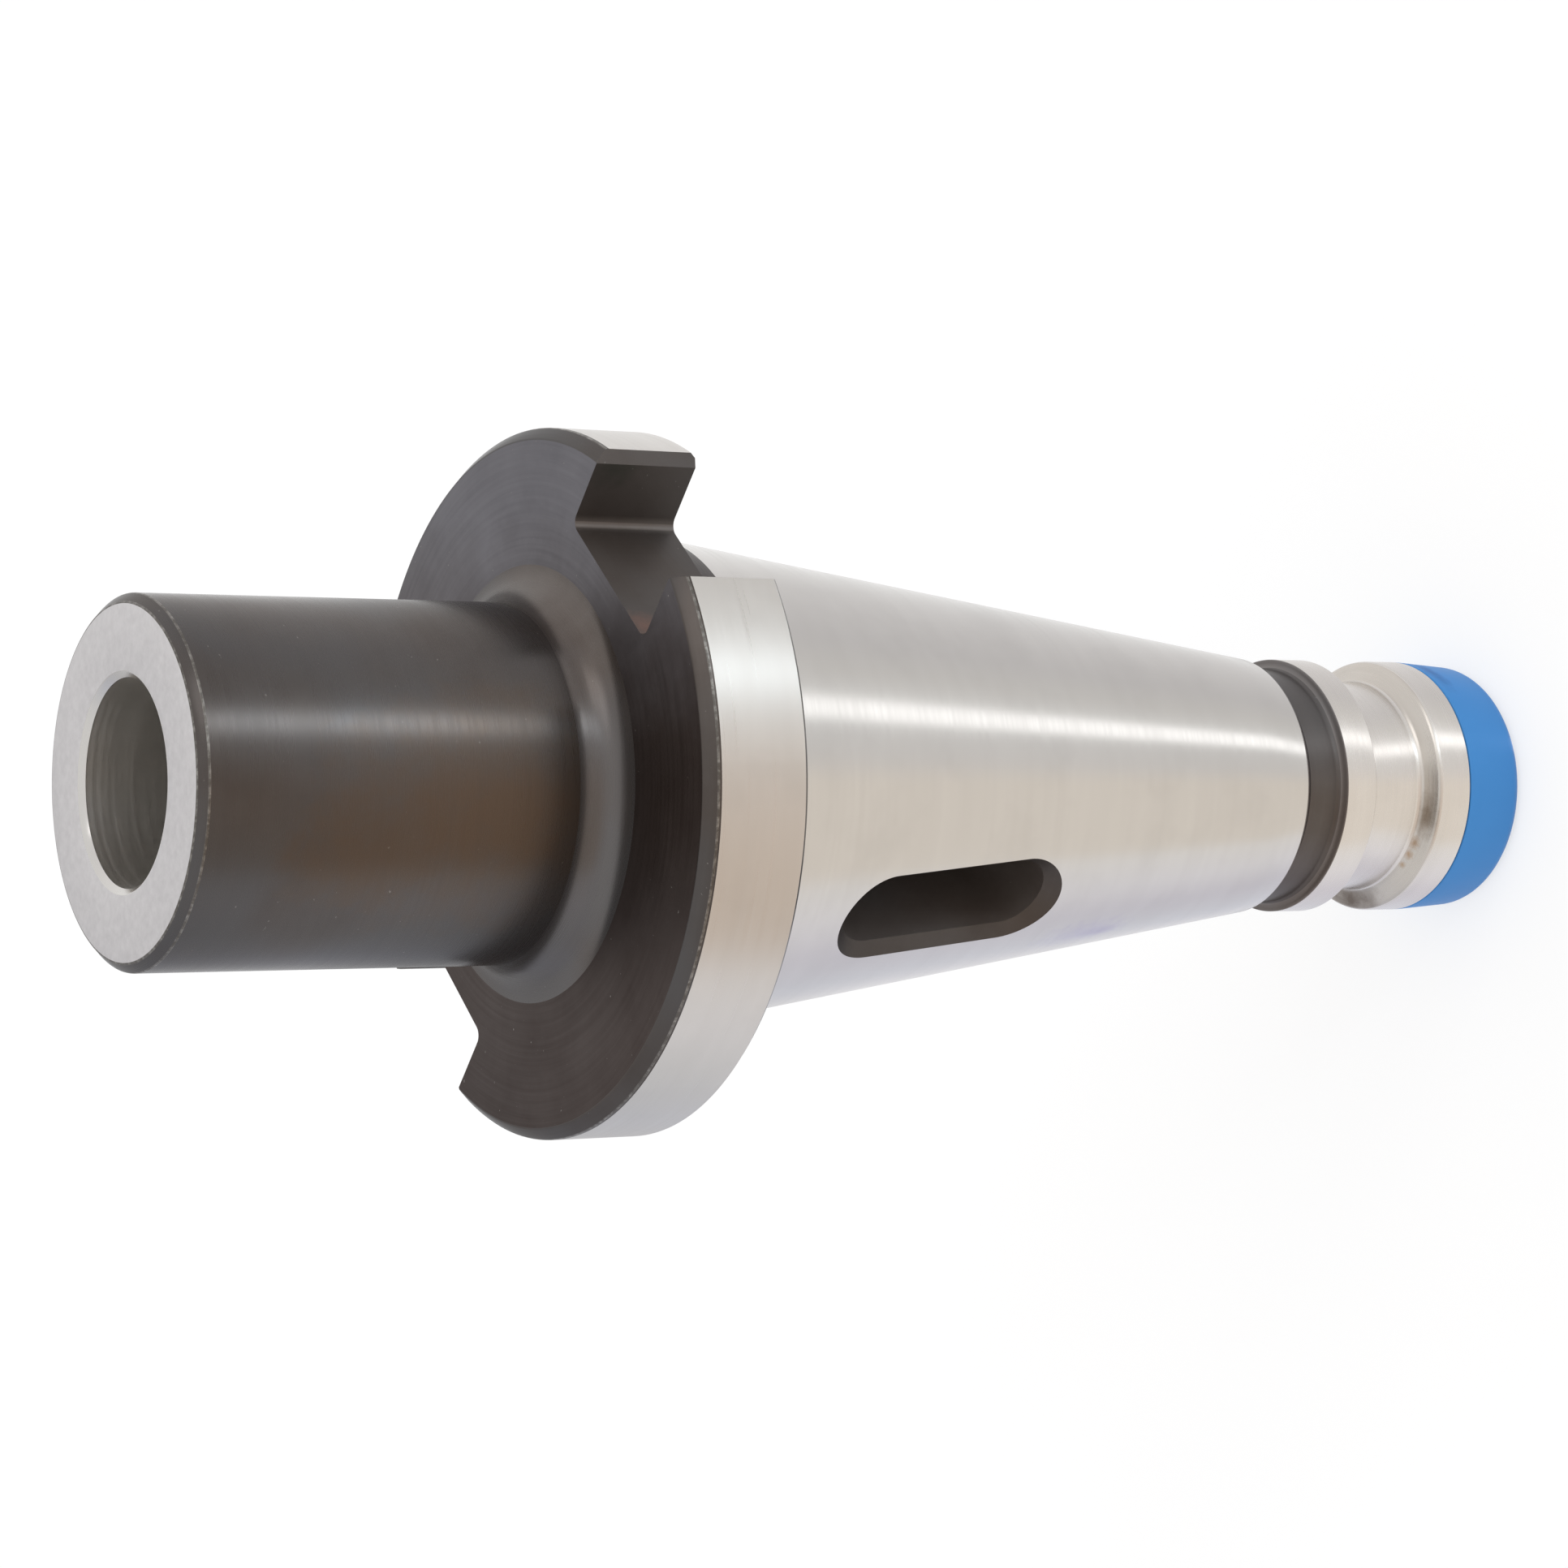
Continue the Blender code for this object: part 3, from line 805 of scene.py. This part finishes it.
def make_thread(finish):
    """The ridge of the screw thread in the tail's tapped hole, one closed helix."""
    put_down_all()
    bpy.ops.mesh.primitive_circle_add(
        vertices=4, radius=THREAD_PITCH * THREAD_RIDGE_SHARE, fill_type="NGON"
    )
    thread = bpy.context.object
    name_piece(thread, "tail_thread")
    bpy.ops.object.mode_set(mode="EDIT")
    bpy.ops.mesh.select_all(action="SELECT")
    bpy.ops.transform.rotate(value=math.pi / 2, orient_axis="X", center_override=(0, 0, 0))
    bottom = COUNTERBORE_TOP + THREAD_START
    bpy.ops.transform.translate(value=(THREAD_RADIUS - THREAD_RIDGE_INSET, 0, bottom))
    bpy.ops.mesh.delete(type="ONLY_FACE")
    bpy.ops.object.mode_set(mode="OBJECT")
    turns = int((THREAD_TOP - bottom - THREAD_PITCH) / THREAD_PITCH)
    screw = thread.modifiers.new("helix", "SCREW")
    screw.angle = math.tau
    screw.screw_offset = THREAD_PITCH
    screw.iterations = turns
    screw.steps = THREAD_STEPS
    screw.render_steps = THREAD_STEPS
    screw.use_merge_vertices = False
    bpy.ops.object.modifier_apply(modifier=screw.name)
    bpy.ops.object.mode_set(mode="EDIT")
    bpy.ops.mesh.select_all(action="SELECT")
    bpy.ops.mesh.fill_holes(sides=4)
    bpy.ops.mesh.select_all(action="SELECT")
    bpy.ops.mesh.normals_make_consistent(inside=False)
    bpy.ops.object.mode_set(mode="OBJECT")
    thread.data.materials.append(finish)
    smooth_turned(thread)
    return thread


def make_cap(finish):
    """The push-in cap: a round head with a plug and a pilot on it."""
    outline = [
        (TIP_RADIUS, 0.0),
        (TAIL_RADIUS - CAP_HEAD_DRAFT, 0.0),
        (TAIL_RADIUS, CAP_HEAD_TOP),
        (CAP_PLUG_RADIUS, CAP_HEAD_TOP),
        (CAP_PLUG_RADIUS, CAP_PLUG_TOP),
        (CAP_PILOT_RADIUS, CAP_PLUG_TOP),
        (CAP_PILOT_RADIUS, CAP_PILOT_TOP),
        (TIP_RADIUS, CAP_PILOT_TOP),
    ]
    cap = turn("cap", outline)
    bevel_ring(cap, TAIL_RADIUS - CAP_HEAD_DRAFT, 0.0, CAP_HEAD_ROUND, 8)
    bevel_ring(cap, TAIL_RADIUS, CAP_HEAD_TOP, CAP_HEAD_RIM_ROUND, 3)
    bevel_ring(cap, CAP_PLUG_RADIUS, CAP_PLUG_TOP, CAP_PLUG_ROUND, 3)
    bevel_ring(cap, CAP_PILOT_RADIUS, CAP_PILOT_TOP, CAP_PILOT_ROUND, 4)
    cap.data.materials.append(finish)
    smooth_turned(cap)
    return cap


# Studio


def light_tent(window, turn):
    """Brightness of the tent's walls from -X round to -X: azimuth in degrees and linear colour.

    The window is a bright strip on one side, its middle at the azimuth turn.
    """
    bright = (0.92 * window, window, 1.05 * window)
    return [
        (-180, (0.70, 0.72, 0.80)),
        (-150, (0.78, 0.79, 0.82)),
        (-126, (0.96, 0.95, 0.98)),
        (-108, (0.96, 0.94, 0.94)),
        (-98, (0.76, 0.65, 0.56)),
        (-72, (0.79, 0.68, 0.59)),
        (-48, (0.86, 0.77, 0.70)),
        (-32, (0.92, 0.90, 0.88)),
        (turn - 6.5, (0.93, 0.94, 0.95)),
        (turn - 2.5, bright),
        (turn + 2.5, bright),
        (turn + 6.5, (0.86, 0.86, 0.86)),
        (14, (0.84, 0.83, 0.82)),
        (32, (0.80, 0.79, 0.80)),
        (52, (0.90, 0.89, 0.89)),
        (72, (1.02, 1.01, 1.01)),
        (110, (1.05, 1.05, 1.05)),
        (134, (0.73, 0.73, 0.74)),
        (160, (0.67, 0.67, 0.69)),
    ]


def table_top():
    """Brightness of the table close to the sleeve, round from -X like the tent's."""
    return [
        (-180, (0.80, 0.82, 0.91)),
        (-150, (0.80, 0.79, 0.88)),
        (-128, (0.96, 0.95, 1.00)),
        (-106, (1.00, 0.98, 0.97)),
        (-98, (0.95, 0.89, 0.82)),
        (-48, (0.95, 0.89, 0.82)),
        (-36, (0.86, 0.84, 0.83)),
        (-17, (0.84, 0.84, 0.84)),
        (-13, (1.75, 1.76, 1.78)),
        (-6, (1.75, 1.76, 1.78)),
        (-2, (0.90, 0.90, 0.90)),
        (12, (0.80, 0.79, 0.78)),
        (32, (0.74, 0.73, 0.74)),
        (52, (0.80, 0.79, 0.80)),
        (72, (0.86, 0.85, 0.86)),
        (95, (0.94, 0.94, 0.94)),
        (120, (1.04, 1.04, 1.04)),
        (142, (0.98, 0.98, 0.99)),
        (158, (0.88, 0.88, 0.92)),
    ]


def all_round(nodes, links, direction, walls):
    """The walls' colour in a direction; the last wall runs on to the first."""
    round_about = nodes.new("ShaderNodeTexGradient")
    round_about.gradient_type = "RADIAL"
    links.new(direction, round_about.inputs["Vector"])
    stops = [((azimuth + 180) / 360, colour) for azimuth, colour in walls]
    stops.append((1.0, walls[0][1]))
    return graded(nodes, links, round_about.outputs["Fac"], stops)


def mixed_shaders(nodes, links, share, first, second):
    """Two shaders mixed, by a share from 0, all first, to 1, all second."""
    mix = nodes.new("ShaderNodeMixShader")
    for value, socket in zip((share, first, second), mix.inputs):
        links.new(value, socket)
    return mix.outputs[0]


def white_floor(nodes, links, camera_ray):
    """The floor as light and the camera meet it: pale, and white but for the sleeve's shadow."""
    paper = nodes.new("ShaderNodeBsdfDiffuse")
    paper.inputs["Color"].default_value = (FLOOR_WHITE, FLOOR_WHITE, FLOOR_WHITE, 1)
    glow = nodes.new("ShaderNodeEmission")
    glow.inputs["Strength"].default_value = FLOOR_GLOW
    shadowed = nodes.new("ShaderNodeBsdfDiffuse")
    shadowed.inputs["Color"].default_value = (FLOOR_SHADOWED, FLOOR_SHADOWED, FLOOR_SHADOWED, 1)
    shown = nodes.new("ShaderNodeAddShader")
    links.new(glow.outputs[0], shown.inputs[0])
    links.new(shadowed.outputs[0], shown.inputs[1])
    return mixed_shaders(nodes, links, camera_ray, paper.outputs[0], shown.outputs[0])


def mirrored_floor(nodes, links):
    """The floor as the metal mirrors it: a table near the sleeve, and the tent's light further out."""
    here = place_on_piece(nodes)
    distance = reckoned(nodes, links, "ShaderNodeVectorMath", "LENGTH", here).outputs["Value"]
    aside = nodes.new("ShaderNodeMapping")
    aside.inputs["Location"].default_value = TABLE_SHIFT
    links.new(here, aside.inputs["Vector"])
    table = all_round(nodes, links, aside.outputs[0], table_top())
    middle = all_round(nodes, links, here, light_tent(*MIDDLE_WINDOW))
    outer = all_round(nodes, links, here, light_tent(*OUTER_WINDOW))
    past_middle = ranged(nodes, links, distance, 0.0, 1.0, *MIDDLE_END)
    past_table = ranged(nodes, links, distance, 0.0, 1.0, *TABLE_END)
    outward = ranged(nodes, links, distance, 0.0, 1.0, 0.0, GLOW_REACH)
    strengths = [(place, (strength, strength, strength)) for place, strength in GLOW_OUTWARD]
    far = blended(nodes, links, past_middle, middle, outer)
    tent = nodes.new("ShaderNodeEmission")
    links.new(blended(nodes, links, past_table, table, far), tent.inputs["Color"])
    links.new(graded(nodes, links, outward, strengths), tent.inputs["Strength"])
    return tent.outputs[0]


def make_floor():
    """A pale floor: white with the sleeve's shadow, and in the metal a table in a light tent."""
    put_down_all()
    bpy.ops.mesh.primitive_plane_add(size=FLOOR_SIZE)
    floor = bpy.context.object
    name_piece(floor, "floor")
    material = bpy.data.materials.new("studio_floor")
    material.use_nodes = True
    nodes, links = material.node_tree.nodes, material.node_tree.links
    nodes.clear()
    rays = nodes.new("ShaderNodeLightPath").outputs
    mirrored = reckoned(
        nodes, links, "ShaderNodeMath", "MAXIMUM", rays["Is Glossy Ray"], rays["Is Transmission Ray"]
    ).outputs["Value"]
    white = white_floor(nodes, links, rays["Is Camera Ray"])
    surface = mixed_shaders(nodes, links, mirrored, white, mirrored_floor(nodes, links))
    output = nodes.new("ShaderNodeOutputMaterial")
    links.new(surface, output.inputs["Surface"])
    floor.data.materials.append(material)


def make_world():
    """The tent's walls round the horizon and its even top; white where the camera sees it."""
    world = bpy.data.worlds.new("studio")
    bpy.context.scene.world = world
    world.use_nodes = True
    nodes, links = world.node_tree.nodes, world.node_tree.links
    sky = nodes["Background"]
    sky.inputs["Strength"].default_value = 1.0
    direction = nodes.new("ShaderNodeTexCoord").outputs["Generated"]
    walls = all_round(nodes, links, direction, light_tent(*WALL_WINDOW))
    split = nodes.new("ShaderNodeSeparateXYZ")
    links.new(direction, split.inputs[0])
    overhead = ranged(nodes, links, split.outputs["Z"], 0.0, 1.0, 0.45, 0.85)
    tent = blended(nodes, links, overhead, walls, TENT_TOP)
    camera_ray = nodes.new("ShaderNodeLightPath").outputs["Is Camera Ray"]
    links.new(blended(nodes, links, camera_ray, tent, (1.0, 1.0, 1.0)), sky.inputs["Color"])


def make_lamp(name, place, aim, width, height, power):
    """A soft rectangular lamp that the camera doesn't see."""
    put_down_all()
    bpy.ops.object.light_add(type="AREA", location=place)
    lamp = bpy.context.object
    lamp.name = name
    lamp.rotation_euler = (Vector(aim) - Vector(place)).to_track_quat("-Z", "Y").to_euler()
    lamp.data.shape = "RECTANGLE"
    lamp.data.size = width
    lamp.data.size_y = height
    lamp.data.energy = power
    lamp.visible_camera = False


def make_camera():
    """The camera, rolled so that the standing sleeve lies across the picture."""
    put_down_all()
    bpy.ops.object.camera_add(location=CAMERA_PLACE)
    camera = bpy.context.object
    camera.name = "camera"
    camera.rotation_mode = "QUATERNION"
    level = (CAMERA_AIM - CAMERA_PLACE).to_track_quat("-Z", "Y")
    camera.rotation_quaternion = level @ Quaternion((0, 0, 1), CAMERA_ROLL)
    camera.data.sensor_width = 36.0
    camera.data.lens = CAMERA_LENS
    camera.data.clip_start = 0.01
    bpy.context.scene.camera = camera


bpy.context.scene.view_settings.view_transform = "Standard"
make_camera()
make_world()
make_floor()
make_lamp("side_light", (0.55, 0.10, 0.60), (0, 0, 0.09), width=0.30, height=0.50, power=0.5)

finishes = {
    "ground": ground_steel(
        "ground_steel",
        low=(0.603, 0.584, 0.560),
        high=(0.630, 0.611, 0.587),
        smoothest=0.16,
        roughest=0.23,
        marked=TAPER_MARKS,
    ),
    "rim": ground_steel(
        "rim_steel",
        low=(0.615, 0.592, 0.563),
        high=(0.650, 0.627, 0.598),
        smoothest=0.27,
        roughest=0.36,
    ),
    "tail": ground_steel(
        "tail_steel",
        low=(0.680, 0.650, 0.615),
        high=(0.725, 0.695, 0.660),
        smoothest=0.23,
        roughest=0.30,
    ),
    # The collar's flank: ground steel made darker and browner, a painted dark reflection.
    "flank": ground_steel(
        "flank_steel_painted_shade",
        low=(0.560, 0.520, 0.475),
        high=(0.620, 0.580, 0.535),
        smoothest=0.24,
        roughest=0.34,
        marked=TAIL_RUST_AND_SHADE,
    ),
    "face": face_steel(),
    "black": black_oxide(
        "black_oxide", shine=0.26, metal=0.75, lined=0.12, film=0.32, marked=NOSE_PAINTED_REFLECTION
    ),
    # The nose's fillet: black oxide made lighter, a painted sheen on the rounding.
    "fillet": black_oxide("black_oxide_fillet_painted_sheen", tone=1.5, shine=0.26, metal=0.8, film=0.4),
    "front": flange_oxide(),
    "front_chamfer": black_oxide("black_oxide_chamfer", shine=0.34),
    "worn": worn_edge(),
    "bored": bored_steel(),
    "groove": black_oxide("black_oxide_groove", tone=1.3, shine=0.36, metal=0.7),
    # The end groove's wall and edges: black oxide made much lighter, painted light over their dark
    # reflection.
    "groove_edge": black_oxide("black_oxide_groove_edge_painted_light", tone=2.2, shine=0.40, metal=0.2),
    "slot_wall": black_oxide(
        "black_oxide_drift_slot",
        tone=1.6,
        shine=0.5,
        metal=0.1,
        lined=0.0,
        film=0.2,
        marked=DRIFT_SLOT_PATCHES,
    ),
    "slot_side": black_oxide(
        "black_oxide_drive_slot", shine=0.48, metal=0.5, lined=0.0, film=0.3, marked=SLOT_PATCHES
    ),
    # Lighter black oxide for the middle of the slot root's rounding: a painted highlight.
    "slot_root_painted_highlight": black_oxide("black_oxide_slot_root", tone=1.5, shine=0.36, metal=0.8, lined=0.0),
    "slot_edge": black_oxide("black_oxide_slot_edge", tone=1.15, shine=0.36, lined=0.0),
    "drift_edge": black_oxide(
        "black_oxide_drift_edge", tone=1.15, shine=0.45, metal=0.8, lined=0.0, film=0.2
    ),
}

sleeve = make_sleeve(finishes)
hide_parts("sleeve_body")
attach(sleeve, "sleeve")

tail_thread = make_thread(finishes["bored"])
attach(tail_thread, "sleeve")

cap = make_cap(blue_plastic())
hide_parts("thread_cap")
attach(cap, "cap")
